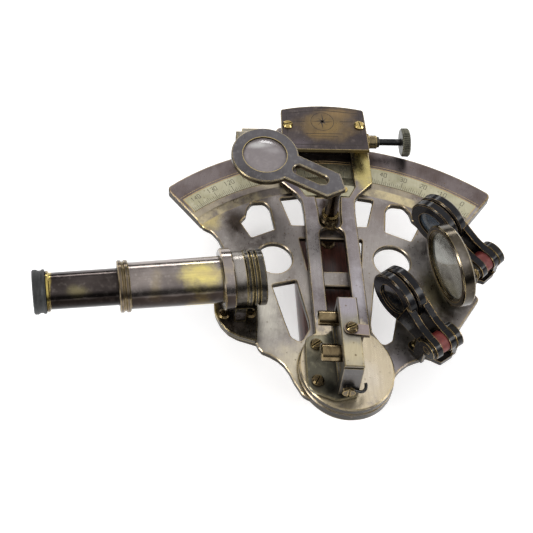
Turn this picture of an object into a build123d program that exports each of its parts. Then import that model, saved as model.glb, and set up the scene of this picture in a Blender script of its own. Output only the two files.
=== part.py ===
from build123d import *
import os
from math import sin, cos, tan, radians, hypot

# Nautical sextant, small travelling size.  Millimetres, +Z up.
# Origin: the index arm's pivot axis, where it meets the resting surface.
# +Y runs from the pivot to the middle of the arc, +X is the horizon mirror side.
# The instrument lies flat on its three feet with the arc level.
# Heights (z0, z1) are world heights unless a part is drawn in a local place.

# ---------------------------------------------------------------- driving dimensions
WEB_Z0, WEB_Z1 = 20.6, 22.8        # underside and top of the cast web
LIMB_Z1 = 24.0                     # top of the limb
LIMB_R = 91.0                      # outer radius of the limb
LIMB_HALF = 39.0                   # half angle of the limb, degrees
SCALE_R0, SCALE_R1 = 76.8, 83.2    # silvered scale band
SCALE_Z0 = LIMB_Z1 - 0.6
SCALE_HALF = 37.8
BOSS_R = 15.2                      # pivot boss
BORE_R = 6.0                       # bearing bore through the boss
AXLE_R = 3.97
BUSH_CLEAR = 0.05                  # radial running clearance
FOOT_STUD_R, FOOT_Z1 = 1.5, 22.2   # top of the feet inside the web
BRACKET_Z1 = WEB_Z1 + 2.0          # top of the bracket plates standing on the web
TAP_Z0 = 21.2                      # floor of the blind holes under those brackets

HANDLE_W, HANDLE_H = 24.0, 13.0
HANDLE_Y0, HANDLE_Y1 = 14.6, 59.5
HANDLE_Z0 = 2.5
HANDLE_Z1 = HANDLE_Z0 + HANDLE_H
HANDLE_SCREW_R, HANDLE_SCREW_Z1 = 1.4, 22.0

ARM_Z0, ARM_Z1 = 24.5, 27.0        # index arm underside and top
ARM_HALF = 17.9 / 2                # half width over the two rails
SLOT_HALF = 8.4 / 2                # half the slot between the rails
HEAD_HALF = 16.3                   # half width of the arm's head
TURNTABLE_R = 15.0

TELESCOPE_C = (-34.0, 25.05, 38.0)  # centre of the telescope's bracket ring
TELESCOPE_AZ = 6.6                 # direction from +X, degrees
DRAW_R = 6.2                       # outer radius of the draw tube

MIRROR_C = (34.0, 30.7, 40.7)      # horizon mirror centre
MIRROR_AZ = 196.0                  # direction its face looks, degrees
MIRROR_R = 13.5
MIRROR_BLOCK_TOP = 38.2            # top of the block behind the horizon mirror

SHADE_Z = 32.2                     # height of the shade pivots
SHADE_SETS = (("index", 28.8, 7.2, 35.2),        # name, pivot centre x, y, axis direction
              ("horizon", 46.9, 37.6, 42.4))
SHADE_REACH = 18.8                 # pivot to disc centre
SHADE_ELEV = 12.2                  # lever angle above level at rest, degrees
SHADE_R = 8.8

LENS_POST = (-0.3, 57.0)           # magnifier post
LENS_AZ = 151.0                    # direction of the magnifier arm at rest
LENS_REACH = 26.2                  # post to lens centre
LENS_Z0, LENS_Z1 = 45.4, 47.5      # magnifier plate
LENS_RIM_R = 11.6

# Places: local X is the axis each part is turned about
TELESCOPE = Location(TELESCOPE_C) * Rot(0, 0, TELESCOPE_AZ)   # X runs to the objective
MIRROR = Location(MIRROR_C) * Rot(0, 0, MIRROR_AZ)            # X looks out of the face
TANGENT = Location((0, 89.0, 30.0))                           # tangent screw axis
SHADE_PLACES = {name: Location((x, y, SHADE_Z)) * Rot(0, 0, azimuth)
                for name, x, y, azimuth in SHADE_SETS}        # X is the hinge axis

os.makedirs("parts", exist_ok=True)


# ---------------------------------------------------------------- helpers
def cyl(radius, z0, z1, x=0.0, y=0.0):
    return Pos(x, y, (z0 + z1) / 2) * Cylinder(radius, z1 - z0)


def block(x0, x1, y0, y1, z0, z1):
    return Pos((x0 + x1) / 2, (y0 + y1) / 2, (z0 + z1) / 2) * Box(x1 - x0, y1 - y0, z1 - z0)


def rod(radius, x0, x1, y=0.0, z=0.0):
    """Cylinder along X."""
    return Pos((x0 + x1) / 2, y, z) * Rot(0, 90, 0) * Cylinder(radius, x1 - x0)


def rounded_face(corners):
    """Closed face from corners (x, y) or (x, y, corner radius)."""
    bends = []                     # start, middle and end; the middle of a sharp corner is None
    for i, corner in enumerate(corners):
        here = Vector(*corner[:2])
        back = Vector(*corners[i - 1][:2]) - here
        ahead = Vector(*corners[(i + 1) % len(corners)][:2]) - here
        radius = corner[2] if len(corner) > 2 else 0.0
        half = radians(back.get_angle(ahead)) / 2
        if radius <= 0 or half > radians(89.5):
            bends.append((here, None, here))
            continue
        # neighbouring corners must not use up the side they share
        reach = min(radius / tan(half), 0.49 * back.length, 0.49 * ahead.length)
        radius = reach * tan(half)
        back, ahead = back.normalized(), ahead.normalized()
        inward = (back + ahead).normalized()
        bends.append((here + back * reach,
                      here + inward * (radius / sin(half) - radius),
                      here + ahead * reach))
    edges = []
    for i, (start, middle, end) in enumerate(bends):
        previous = bends[i - 1][2]
        if (start - previous).length > 1e-6:
            edges.append(Edge.make_line(previous, start))
        if middle is not None:
            edges.append(Edge.make_three_point_arc(start, middle, end))
    return Face(Wire(edges))


def slab(face, z0, z1):
    """Level face raised to a plate between two heights."""
    if face.normal_at().Z < 0:
        face = -face
    return Pos(0, 0, z0) * extrude(face, z1 - z0, dir=(0, 0, 1))


def plate(corners, z0, z1):
    return slab(rounded_face(corners), z0, z1)


def wedge(half_degrees, radius, z0, z1):
    """Sector of the given half angle about +Y."""
    full = radians(half_degrees)
    part = radians(half_degrees / 2)
    outer = radius / cos(part)
    side = [(radius * sin(full), radius * cos(full)), (outer * sin(part), outer * cos(part))]
    return plate([(0, 0)] + side + [(0, outer)] + mirror_x(side), z0, z1)


def mirror_x(corners):
    return [(-corner[0],) + tuple(corner[1:]) for corner in reversed(corners)]


def polygon(points):
    return Face(Wire([Edge.make_line(a, b) for a, b in zip(points, points[1:] + points[:1])]))


def turned(profile, x=0.0, y=0.0):
    """Solid of revolution about a vertical axis from (radius, z) corners."""
    return Pos(x, y, 0) * revolve(polygon([(r, 0, z) for r, z in profile]), Axis.Z, 360)


def turned_x(profile):
    """Solid of revolution about X from (x, radius) corners."""
    return revolve(polygon([(x, 0, r) for x, r in profile]), Axis.X, 360)


def soften(shape, edges, size):
    """Chamfer the edges; the shape stays plain where the chamfer can't be built."""
    try:
        out = chamfer(edges, size)
        if out.is_valid and out.volume > 0.5 * shape.volume:
            return out
    except Exception:
        pass
    return shape


def round_edges(shape, edges, radius):
    """Fillet the edges; the shape stays plain where the fillet can't be built."""
    try:
        return fillet(edges, radius)
    except Exception:
        return shape


def top_edges(shape, z, tol=0.02):
    return [e for e in shape.edges()
            if abs(e.center().Z - z) < tol and abs(e.bounding_box().size.Z) < tol]


def axis_distance(edge):
    return hypot(edge.center().X, edge.center().Y)


def drill(shape, radius, z0, z1, points):
    for point in points:
        shape = shape - cyl(radius, z0, z1, *point[:2])
    return shape


def local_xy(place, x, y):
    spot = (place * Pos(x, y, 0)).position
    return spot.X, spot.Y


def screw(x, y, z, head_r, head_h, shank_r, shank_len, turn, slot=0.5, dome=0.0):
    """Vertical slotted screw whose head stands on height z, drawn with local X up."""
    place = Pos(x, y, z) * Rot(0, 0, turn) * Rot(0, -90, 0)
    rim = head_h - dome
    head = place * rod(head_r, 0, rim)
    if dome > 0:
        crown = Cone(head_r, head_r * 0.72, dome)
        head = head + place * Pos((rim + head_h) / 2, 0, 0) * Rot(0, 90, 0) * crown
    head = head - place * block(0.55 * head_h, head_h + 1, -slot / 2, slot / 2,
                                -head_r - 1, head_r + 1)
    return head + place * rod(shank_r, -shank_len, 0)


def screw_below(x, y, head_r, z0, z1, slot, slot_depth, shank_r, shank_z1):
    """Vertical screw driven from underneath: head from z0 to z1, shank above it."""
    reach = head_r + 1
    groove = block(x - reach, x + reach, y - slot / 2, y + slot / 2, z0 - 1, z0 + slot_depth)
    return (cyl(head_r, z0, z1, x, y) - groove) + cyl(shank_r, z1, shank_z1, x, y)


def save(name, *shapes):
    solids = [solid for shape in shapes for solid in shape.solids()]
    out = solids[0] if len(solids) == 1 else Compound(children=solids)
    export_step(out, "parts/" + name + ".step")


# ================================================================ FRAME
FEET = ((-34.5, 62.5), (34.5, 62.5))
PILLARS = ((0.0, 17.2), (0.0, 54.1))
GUARD_SCREWS = [(11.1 * cos(radians(a)), 11.1 * sin(radians(a))) for a in (30, 150, 270)]
TELESCOPE_SCREWS = ((-29.6, 19.4, 25), (-38.4, 18.6, 70))       # x, y, slot turn
MIRROR_FIXINGS = [local_xy(MIRROR, -6.3, y) for y in (0.7, 4.1)]
MIRROR_FIXING_R = 1.05
SHADE_SCREWS = [(*local_xy(SHADE_PLACES[name], x, y), azimuth + turn)     # x, y, slot turn
                for name, _, _, azimuth in SHADE_SETS
                for x, y, turn in ((1.4, 5.8, 30), (-3.0, 5.7, -30))]
FRAME_HOLES = (                    # radius, z0, z1, points
    (BORE_R, 10, 30, [(0, 0)]),
    (FOOT_STUD_R, 19, FOOT_Z1, FEET),
    (HANDLE_SCREW_R, 19, HANDLE_SCREW_Z1, PILLARS),
    (0.8, 17, 20.5, GUARD_SCREWS),
    (1.0, TAP_Z0, 24, TELESCOPE_SCREWS),
    (MIRROR_FIXING_R, 20, 24, MIRROR_FIXINGS),
    (0.9, TAP_Z0, 24, SHADE_SCREWS))

# (x, y, corner radius), from the left end of the arc round the pivot to the right end
WEB_OUTLINE = [
    (-46.5, 58.0), (-44.3, 54.9, 2), (-41.2, 53.2, 4), (-39.2, 50.4, 4), (-37.6, 46.6, 6),
    (-36.9, 41.0, 8), (-37.6, 34.0, 8), (-41.1, 26.5, 5), (-41.2, 19.9, 5), (-39.5, 16.0, 4),
    (-37.0, 13.0, 4), (-34.0, 11.3, 4), (-28.0, 9.5, 0.5), (-27.3, 7.9, 1), (-26.2, 6.5, 1.5),
    (-23.8, 5.5, 5), (-21.3, 4.0, 5), (-19.3, 2.0, 6), (-17.8, -0.6, 8), (-16.6, -3.6, 8),
    (-14.0, -8.5, 4), (-6.0, -12.0), (6.0, -12.0), (13.0, -6.0, 4),
    (16.2, 0.6, 6), (17.8, 2.3, 5), (20.3, 4.3, 5), (22.4, 5.3, 5), (25.4, 6.4, 3),
    (38.6, 18.0, 4), (46.6, 29.2, 1.4), (44.2, 33.2, 2), (43.9, 36.2, 3), (46.6, 41.0, 2),
    (43.4, 46.8, 3), (42.2, 50.2, 4), (44.3, 54.9, 2), (46.5, 58.0), (43.0, 62.5),
    (26.0, 71.5), (0, 76.0), (-26.0, 71.5), (-43.0, 62.5)]
UPPER_WINDOW = [(19.1, 54.9, 0.6), (27.4, 51.3, 0.6), (31.0, 57.8, 0.5), (28.9, 60.2, 1.2),
                (28.2, 63.4, 2.5), (26.6, 66.0, 2.2), (22.0, 66.5, 2.4), (20.3, 63.8, 2.5)]
LOWER_WINDOW = [(13.1, 34.2, 0.5), (21.4, 32.1, 0.5), (18.0, 18.2, 3), (16.4, 12.4, 2),
                (13.2, 10.4, 1.6), (10.2, 15.5, 2), (10.2, 18.5, 3)]
WINDOWS = [
    UPPER_WINDOW, mirror_x(UPPER_WINDOW), LOWER_WINDOW, mirror_x(LOWER_WINDOW),
    [(-13.0, 56.9, 0.6), (13.0, 56.9, 0.6), (14.2, 61.0, 6), (16.4, 68.3, 0.8), (8.4, 69.6),
     (0, 70.1), (-8.4, 69.6), (-16.4, 68.3, 0.8), (-14.2, 61.0, 6)],
    [(-10.8, 51.4, 0.6), (-9.0, 38.1, 0.6), (9.0, 38.1, 0.6), (10.8, 51.4, 0.6)],
    [(-7.6, 32.3, 0.8), (-5.4, 19.8, 2), (5.4, 19.8, 2), (7.6, 32.3, 0.8)]]
ROUND_WINDOWS = ((-19.9, 42.9), (19.9, 42.9))


def frame_limb():
    """Raised band whose inner flank slopes down to the web."""
    limb = turned([(71.6, WEB_Z0), (71.6, WEB_Z1), (74.0, LIMB_Z1), (LIMB_R, LIMB_Z1),
                   (LIMB_R, WEB_Z0)])
    limb = limb & wedge(LIMB_HALF, 130, WEB_Z0 - 1, LIMB_Z1 + 1)
    tips = [e for e in limb.edges()
            if e.bounding_box().size.Z > 3.0 and axis_distance(e) > LIMB_R - 0.5]
    return round_edges(limb, tips, 2.0)


def frame_web():
    web = plate(WEB_OUTLINE, WEB_Z0, WEB_Z1)
    web = web & cyl(75.8, WEB_Z0 - 1, WEB_Z1 + 1)
    for window in WINDOWS:
        web = web - plate(window, WEB_Z0 - 1, WEB_Z1 + 1)
    return drill(web, 6.05, WEB_Z0 - 1, WEB_Z1 + 1, ROUND_WINDOWS)


def scale_band(z0, z1):
    band = turned([(SCALE_R0, z0), (SCALE_R0, z1), (SCALE_R1, z1), (SCALE_R1, z0)])
    return band & wedge(SCALE_HALF, 130, 20, 26)


def frame_plate():
    limb = frame_limb()
    web = frame_web()
    boss = cyl(BOSS_R, WEB_Z0, LIMB_Z1) + cyl(14.2, 18.4, WEB_Z0)
    boss = soften(boss, top_edges(boss, LIMB_Z1), 0.35)
    frame = web + limb + boss
    # web edges between the boss and the limb, then the limb's own top edges
    frame = soften(frame, [e for e in top_edges(frame, WEB_Z1) if 16.5 < axis_distance(e) < 70.0],
                   0.3)
    frame = soften(frame, [e for e in top_edges(frame, LIMB_Z1) if axis_distance(e) > 60], 0.3)
    frame = frame - scale_band(SCALE_Z0, 25)     # groove for the silvered band
    for hole in FRAME_HOLES:
        frame = drill(frame, *hole)
    return frame


save("frame_plate", frame_plate())
save("limb_scale", scale_band(SCALE_Z0, LIMB_Z1))
save("pivot_bush", cyl(BORE_R, 17.6, 24.4) - cyl(AXLE_R + BUSH_CLEAR, 16.6, 25.4))

# feet: turned legs with a ball end; profiles are (radius, z)
LEG = [(0, 0), (1.5, 0), (2.4, 0.9), (2.5, 2.0), (2.1, 3.1), (1.5, 3.9), (1.5, 4.6),
       (1.9, 5.2), (1.75, 12.0), (2.2, 17.0), (2.9, 17.8), (3.1, 19.0), (3.1, WEB_Z0),
       (FOOT_STUD_R, WEB_Z0), (FOOT_STUD_R, FOOT_Z1), (0, FOOT_Z1)]
PIVOT_LEG = [(0, 0), (1.6, 0), (2.6, 0.9), (2.8, 2.1), (2.4, 3.3), (1.7, 4.2), (2.2, 5.2),
             (2.0, 8.6), (2.7, 10.2), (3.4, 10.8), (3.4, 11.6), (1.6, 11.6), (1.6, 12.8),
             (0, 12.8)]
save("feet", *[turned(LEG, x, y) for x, y in FEET], turned(PIVOT_LEG))


def pivot_guard():
    """Cup over the pivot's nut, flanged to the boss; the third foot stands in it."""
    guard = turned([(0, 11.6), (8.6, 11.6), (9.6, 12.6), (9.6, 17.2), (12.6, 17.2), (12.6, 18.4),
                    (8.2, 18.4), (8.2, 13.0), (0, 13.0)])
    guard = guard - cyl(1.6, 10, 14)
    return drill(guard, 0.8, 10, 20, GUARD_SCREWS)


save("pivot_guard", pivot_guard())
save("pivot_guard_screws", *[
    screw_below(x, y, head_r=1.3, z0=16.2, z1=17.2, slot=0.4, slot_depth=0.4,
                shank_r=0.8, shank_z1=20.3) for x, y in GUARD_SCREWS])

# ---------------------------------------------------------------- wooden handle
HANDLE_HEAD_R = 2.7
HANDLE_SINK = HANDLE_Z0 + 1.6      # top of the sunk screw heads


def handle_grip():
    section = Plane(origin=(0, HANDLE_Y0, (HANDLE_Z0 + HANDLE_Z1) / 2), x_dir=(1, 0, 0),
                    z_dir=(0, 1, 0)) * RectangleRounded(HANDLE_W, HANDLE_H, 5.6)
    grip = extrude(section, HANDLE_Y1 - HANDLE_Y0)
    ends = [e for e in grip.edges()
            if min(abs(e.center().Y - HANDLE_Y0), abs(e.center().Y - HANDLE_Y1)) < 0.05]
    grip = round_edges(grip, ends, 3.0)
    for x, y in PILLARS:
        grip = grip - cyl(HANDLE_SCREW_R, 0, 30, x, y) - cyl(HANDLE_HEAD_R, 0, HANDLE_SINK, x, y)
    return grip


def handle_pillar(x, y):
    return turned([(HANDLE_SCREW_R, HANDLE_Z1), (2.4, HANDLE_Z1), (2.4, HANDLE_Z1 + 0.9),
                   (2.0, HANDLE_Z1 + 1.4), (2.0, WEB_Z0 - 1.4), (2.4, WEB_Z0 - 0.9),
                   (2.4, WEB_Z0), (HANDLE_SCREW_R, WEB_Z0)], x, y)


save("handle_grip", handle_grip())
save("handle_pillars", *[handle_pillar(x, y) for x, y in PILLARS])
save("handle_screws", *[
    screw_below(x, y, head_r=HANDLE_HEAD_R, z0=HANDLE_Z0 + 0.4, z1=HANDLE_SINK, slot=0.7,
                slot_depth=0.6, shank_r=HANDLE_SCREW_R, shank_z1=HANDLE_SCREW_Z1)
    for x, y in PILLARS])

# ---------------------------------------------------------------- telescope
# bracket plate on the web: (x, y, corner radius)
TELESCOPE_EAR = [(-26.9, 26.0, 2), (-29.5, 31.2, 2), (-38.6, 31.0, 3), (-41.6, 26.5, 4),
                 (-41.5, 19.9, 5), (-39.8, 15.7, 5), (-37.3, 12.6, 5), (-34.1, 10.9, 5),
                 (-27.9, 9.2, 0.8), (-27.2, 16.5, 5)]
RING_HALF = 1.85                   # half thickness of the bracket ring
NECK_R = 7.2                       # threaded neck of the tube, passing through the ring

# (distance along the axis, radius) of each turned piece
TELESCOPE_PROFILES = {
    "telescope_tube": [
        (-36.5, 6.6), (-36.5, 7.8), (-5.8, 7.8), (-5.8, 9.9), (-5.4, 10.3), (-2.3, 10.3),
        (-1.9, 9.9), (-1.9, NECK_R), (5.4, NECK_R), (5.4, 6.3), (-7.0, 6.3), (-7.0, 6.6)],
    "telescope_guide_ring": [
        (-40.2, 6.25), (-40.2, 8.4), (-39.9, 8.75), (-38.9, 8.75), (-38.6, 8.3), (-38.1, 8.3),
        (-37.8, 8.75), (-36.8, 8.75), (-36.5, 8.4), (-36.5, 6.6), (-32.0, 6.6), (-32.0, 6.25)],
    "draw_tube": [
        (-64.7, 5.4), (-64.7, 6.6), (-64.4, 6.9), (-63.7, 6.9), (-63.4, 6.6), (-63.4, DRAW_R),
        (-29.0, DRAW_R), (-29.0, 6.54), (-27.0, 6.54), (-27.0, 5.4)],
    "eyecup": [
        (-69.1, 3.6), (-69.1, 7.0), (-68.7, 7.5), (-67.6, 7.5), (-66.9, 7.1), (-66.1, 7.1),
        (-65.4, 7.5), (-64.7, 7.3), (-64.7, 5.4), (-61.5, 5.4), (-61.5, 4.6), (-65.6, 4.6),
        (-65.6, 3.0), (-67.2, 3.0)],
    "eye_lens": [(-65.6, 0), (-65.6, 4.6), (-63.8, 4.6), (-63.4, 0)],
    "objective_cell": [
        (2.0, NECK_R), (2.0, 9.0), (2.3, 9.3), (3.4, 9.3), (3.6, 8.3), (4.1, 8.3), (4.3, 9.3),
        (5.2, 9.3), (5.4, 8.3), (5.9, 8.3), (6.1, 9.3), (8.0, 9.3), (8.3, 9.0), (8.3, 7.0),
        (7.6, 6.7), (7.0, 6.7), (7.0, 7.6), (5.6, 7.6), (5.6, 6.3), (5.4, 6.3), (5.4, NECK_R)],
    "objective_lens": [(5.6, 0), (5.6, 7.6), (7.0, 7.6), (7.0, 6.7), (7.4, 4.0), (7.6, 0)]}


def telescope_bracket():
    bracket = plate(TELESCOPE_EAR, WEB_Z1, BRACKET_Z1)
    bracket = soften(bracket, top_edges(bracket, BRACKET_Z1), 0.3)
    pedestal = TELESCOPE * block(-RING_HALF, RING_HALF, -8.6, 6.2,
                                 BRACKET_Z1 - TELESCOPE_C[2], -5.0)
    bracket = bracket + pedestal + TELESCOPE * rod(8.9, -RING_HALF, RING_HALF)
    bracket = bracket - TELESCOPE * rod(NECK_R, -5, 5)
    return drill(bracket, 1.0, 20, 30, TELESCOPE_SCREWS)


save("telescope_bracket", telescope_bracket())
for piece, profile in TELESCOPE_PROFILES.items():
    save(piece, TELESCOPE * turned_x(profile))

# ---------------------------------------------------------------- horizon mirror
MIRROR_GLASS_R = 11.9
BLOCK_X0, BLOCK_X1 = -8.3, -4.3    # upright block behind the cell, local
BLOCK_Y1 = 5.2
MIRROR_FOOT_Z1 = 24.4
MIRROR_ADJUSTERS = ((2.4, -4.7), (2.4, -11.0))   # local y, z


def mirror_bracket():
    z_centre = MIRROR_C[2]
    foot_top = MIRROR_FOOT_Z1 - z_centre
    foot = MIRROR * block(BLOCK_X0, -1.6, -2.4, BLOCK_Y1, WEB_Z1 - z_centre, foot_top)
    upright = MIRROR * block(BLOCK_X0, BLOCK_X1, -0.4, BLOCK_Y1,
                             foot_top, MIRROR_BLOCK_TOP - z_centre)
    bracket = foot + upright
    for y, z in MIRROR_ADJUSTERS:
        bracket = bracket - MIRROR * rod(0.9, -12, -4, y, z)
    return drill(bracket, MIRROR_FIXING_R, 20, 27, MIRROR_FIXINGS)


def mirror_cell():
    cell = MIRROR * turned_x([
        (-2.8, 0), (-2.8, MIRROR_R - 0.5), (-2.3, MIRROR_R), (0.9, MIRROR_R),
        (1.3, MIRROR_R - 0.4), (1.3, MIRROR_GLASS_R), (-1.4, MIRROR_GLASS_R), (-1.4, 0)])
    for y, z in MIRROR_ADJUSTERS:
        cell = cell - MIRROR * rod(0.9, -5, -1.8, y, z)
    return cell


def mirror_adjuster(y, z):
    head = MIRROR * rod(1.7, BLOCK_X0 - 0.8, BLOCK_X0, y, z)
    head = head - MIRROR * block(BLOCK_X0 - 1, BLOCK_X0 - 0.4, y - 0.25, y + 0.25, z - 2, z + 2)
    return head + MIRROR * rod(0.9, BLOCK_X0, -1.8, y, z)


save("horizon_mirror_bracket", mirror_bracket())
save("horizon_mirror_cell", mirror_cell())
save("horizon_mirror_glass", MIRROR * rod(MIRROR_GLASS_R, -1.4, 0.2))
save("horizon_mirror_retainer", MIRROR * turned_x([
    (0.2, 11.0), (0.2, MIRROR_GLASS_R), (1.1, MIRROR_GLASS_R), (1.1, 11.5), (0.7, 11.0)]))
save("horizon_mirror_screws", *[mirror_adjuster(y, z) for y, z in MIRROR_ADJUSTERS], *[
    screw_below(x, y, head_r=1.65, z0=19.4, z1=WEB_Z0, slot=0.5, slot_depth=0.5,
                shank_r=MIRROR_FIXING_R, shank_z1=27.0) for x, y in MIRROR_FIXINGS])

# ---------------------------------------------------------------- shades
LEVER_T, WASHER_T = 2.4, 3.2       # lever and washer thickness
LEVER_X = 2.85                     # lever centre to the set's middle
DISC_X, DISC_T = 1.95, 3.2         # disc centre to the set's middle, disc thickness
EAR_IN = 4.1                       # inner face of both fork ears
EAR_NEAR, EAR_FAR = 5.2, 6.4       # outer faces of the -X and +X ears
HINGE_R = 1.3
SHADE_GLASS_R, SHADE_GLASS_HALF = 6.3, 0.7
FORK_BASE = [(-5.4, 7.4, 1.5), (-5.2, 3.4, 2), (-2.2, -0.4, 2), (-0.6, -3.4, 0.8),
             (4.6, -3.4, 2), (7.2, -1.4, 2), (7.2, 5.6, 2), (5.2, 7.4, 1.5)]
LEVER = [(-3.5, 0.6), (3.5, 0.6), (3.4, 6.0, 6), (5.4, 13.4), (-5.4, 13.4), (-3.4, 6.0, 6)]


def shade_fork(place):
    z0 = WEB_Z1 - SHADE_Z
    fork = place * plate(FORK_BASE, z0, BRACKET_Z1 - SHADE_Z)
    fork = fork + place * block(-EAR_NEAR, -EAR_IN, 0.4, 4.4, z0, 0.6)
    fork = fork + place * rod(3.3, -EAR_NEAR, -EAR_IN)
    fork = fork + place * block(EAR_IN, EAR_FAR, -2.9, 4.2, z0, 0)
    fork = fork + place * rod(4.2, EAR_IN, EAR_FAR)
    return fork - place * rod(HINGE_R, -8, 8)


def shade_washer(place):
    return place * rod(3.4, -WASHER_T / 2, WASHER_T / 2) - place * rod(HINGE_R, -8, 8)


def shade_pivot_screw(place):
    pin = place * turned_x([(-EAR_NEAR, 0), (-EAR_NEAR, HINGE_R), (EAR_FAR, HINGE_R),
                            (EAR_FAR, 2.2), (7.0, 2.2), (7.3, 1.9), (7.3, 0)])
    return pin - place * block(6.9, 9, -0.3, 0.3, -4, 4)


def shade_frame(hinge, centre):
    """Disc rim with its lever; local Y of the hinge runs along the lever."""
    half = DISC_T / 2
    body = centre * turned_x([(-half, 0), (-half, SHADE_R - 0.4), (0.4 - half, SHADE_R),
                              (half - 0.4, SHADE_R), (half, SHADE_R - 0.4), (half, 0)])
    lever = hinge * rod(3.9, -LEVER_T / 2, LEVER_T / 2)
    lever = lever + hinge * Rot(0, 90, 0) * plate(LEVER, -LEVER_T / 2, LEVER_T / 2)
    body = body + lever
    body = body - centre * rod(5.3, -5, 5) - shade_glass(centre)
    return body - hinge * rod(HINGE_R + 0.05, -5, 5)


def shade_glass(centre):
    return centre * rod(SHADE_GLASS_R, -SHADE_GLASS_HALF, SHADE_GLASS_HALF)


for set_name, place in SHADE_PLACES.items():
    for tag, side in (("a", -1), ("b", 1)):
        hinge = place * Pos(side * LEVER_X, 0, 0) * Rot(SHADE_ELEV, 0, 0)
        centre = hinge * Pos(side * (DISC_X - LEVER_X), SHADE_REACH, 0)
        save(f"{set_name}_shade_{tag}_frame", shade_frame(hinge, centre))
        save(f"{set_name}_shade_{tag}_glass", shade_glass(centre))

save("shade_forks", *[drill(shade_fork(place), 0.9, 20, 27, SHADE_SCREWS[2 * i:2 * i + 2])
                      for i, place in enumerate(SHADE_PLACES.values())])
save("shade_washers", *map(shade_washer, SHADE_PLACES.values()))
save("shade_pivot_screws", *map(shade_pivot_screw, SHADE_PLACES.values()))
save("bracket_screws",
     *[screw(x, y, BRACKET_Z1, head_r=1.9, head_h=1.1, shank_r=1.0, shank_len=3.5,
             turn=turn, dome=0.4) for x, y, turn in TELESCOPE_SCREWS],
     *[screw(x, y, BRACKET_Z1, head_r=1.3, head_h=0.8, shank_r=0.9, shank_len=3.5,
             turn=turn, slot=0.4, dome=0.3) for x, y, turn in SHADE_SCREWS])

# ================================================================ INDEX ARM
VERNIER_SCREWS = ((-6.2, 70.2, 20), (6.2, 70.2, 75))     # x, y, slot turn
COVER_SCREWS = ((-12.8, 92.8, 15), (12.8, 92.8, 100))
FOOT_SCREWS = ((-9.2, 6.6, 35), (-9.8, -6.2, 60))
VERNIER_Z0, VERNIER_Z1 = 25.0, 26.2
VERNIER_R = 73.6                   # radius where the arm's ledge ends under the vernier
WINDOW_HALF, WINDOW_Y1 = 9.9, 87.6

# right side of the arm's outline, from the pivot outward: (x, y, corner radius)
ARM_SIDE = [(ARM_HALF, 0), (ARM_HALF, 60.0, 12), (ARM_HALF + 0.4, 65.0, 4), (11.2, 68.0, 2),
            (HEAD_HALF, 73.2, 0.8), (HEAD_HALF, 97.5, 2)]
SUNK_FLOOR = [(-3.7, 52.9, 3.2), (3.7, 52.9, 3.2), (3.8, 60.0, 6), (4.4, 66.8),
              (-4.4, 66.8), (-3.8, 60.0, 6)]


def window_outline(y1, radius=0.0):
    """Window over the scale, splayed from its pivot end, out to y1."""
    return [(-7.4, 66.6), (7.4, 66.6), (WINDOW_HALF, 71.0), (WINDOW_HALF, y1, radius),
            (-WINDOW_HALF, y1, radius), (-WINDOW_HALF, 71.0)]


def index_arm():
    turntable = turned([(0, ARM_Z0), (TURNTABLE_R, ARM_Z0), (TURNTABLE_R, ARM_Z1 - 0.4),
                        (TURNTABLE_R - 0.4, ARM_Z1), (0, ARM_Z1)])
    arm = plate(ARM_SIDE + mirror_x(ARM_SIDE), ARM_Z0, ARM_Z1)
    # long slot between the rails
    end_r = SLOT_HALF - 0.02
    arm = arm - plate([(-SLOT_HALF, 16.2, 1.5), (SLOT_HALF, 16.2, 1.5),
                       (SLOT_HALF, 54.3, end_r), (-SLOT_HALF, 54.3, end_r)], 20, 30)
    # sunk floor around the magnifier post, running toward the head
    arm = arm - plate(SUNK_FLOOR, 25.9, 30)
    # window over the scale, with a ledge that carries the vernier plate
    arm = arm - plate(window_outline(WINDOW_Y1, 1.5), VERNIER_Z0, 30)
    opening = plate([(-WINDOW_HALF, 60.0), (WINDOW_HALF, 60.0), (WINDOW_HALF, WINDOW_Y1, 1.5),
                     (-WINDOW_HALF, WINDOW_Y1, 1.5)], 20, 30)
    arm = arm - (opening - cyl(VERNIER_R, 10, 40))
    arm = arm + turntable
    arm = soften(arm, [e for e in top_edges(arm, ARM_Z1) if e.center().Y > 15.5], 0.28)
    arm = arm - cyl(AXLE_R, 20, 30)
    arm = arm - cyl(2.8, 20, 30, *LENS_POST)
    arm = drill(arm, 0.6, 24.7, 30, VERNIER_SCREWS)
    arm = drill(arm, 1.1, 24.8, 30, COVER_SCREWS)
    return drill(arm, 1.0, 24.8, 30, FOOT_SCREWS)


def vernier_plate():
    vernier = turned([(67.6, VERNIER_Z0), (67.6, VERNIER_Z1), (72.4, VERNIER_Z1), (76.7, 24.7),
                      (76.7, 24.3), (VERNIER_R, 24.3), (VERNIER_R, VERNIER_Z0)])
    vernier = vernier & plate(window_outline(80), 20, 30)
    return drill(vernier, 0.6, 20, 30, VERNIER_SCREWS)


save("index_arm", index_arm())
save("vernier_plate", vernier_plate())

# pivot: axle pressed into the turntable, washer and nut underneath
STUD_R = 2.4
save("pivot_axle", cyl(AXLE_R, 17.5, ARM_Z1) + cyl(STUD_R, 13.9, 17.5))
save("pivot_washer", cyl(6.6, 17.0, 17.5) - cyl(STUD_R, 16.0, 18.5))
save("pivot_nut", Pos(0, 0, 14.7) * extrude(RegularPolygon(4.6, 6), 2.3) - cyl(STUD_R, 10, 20))

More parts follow.
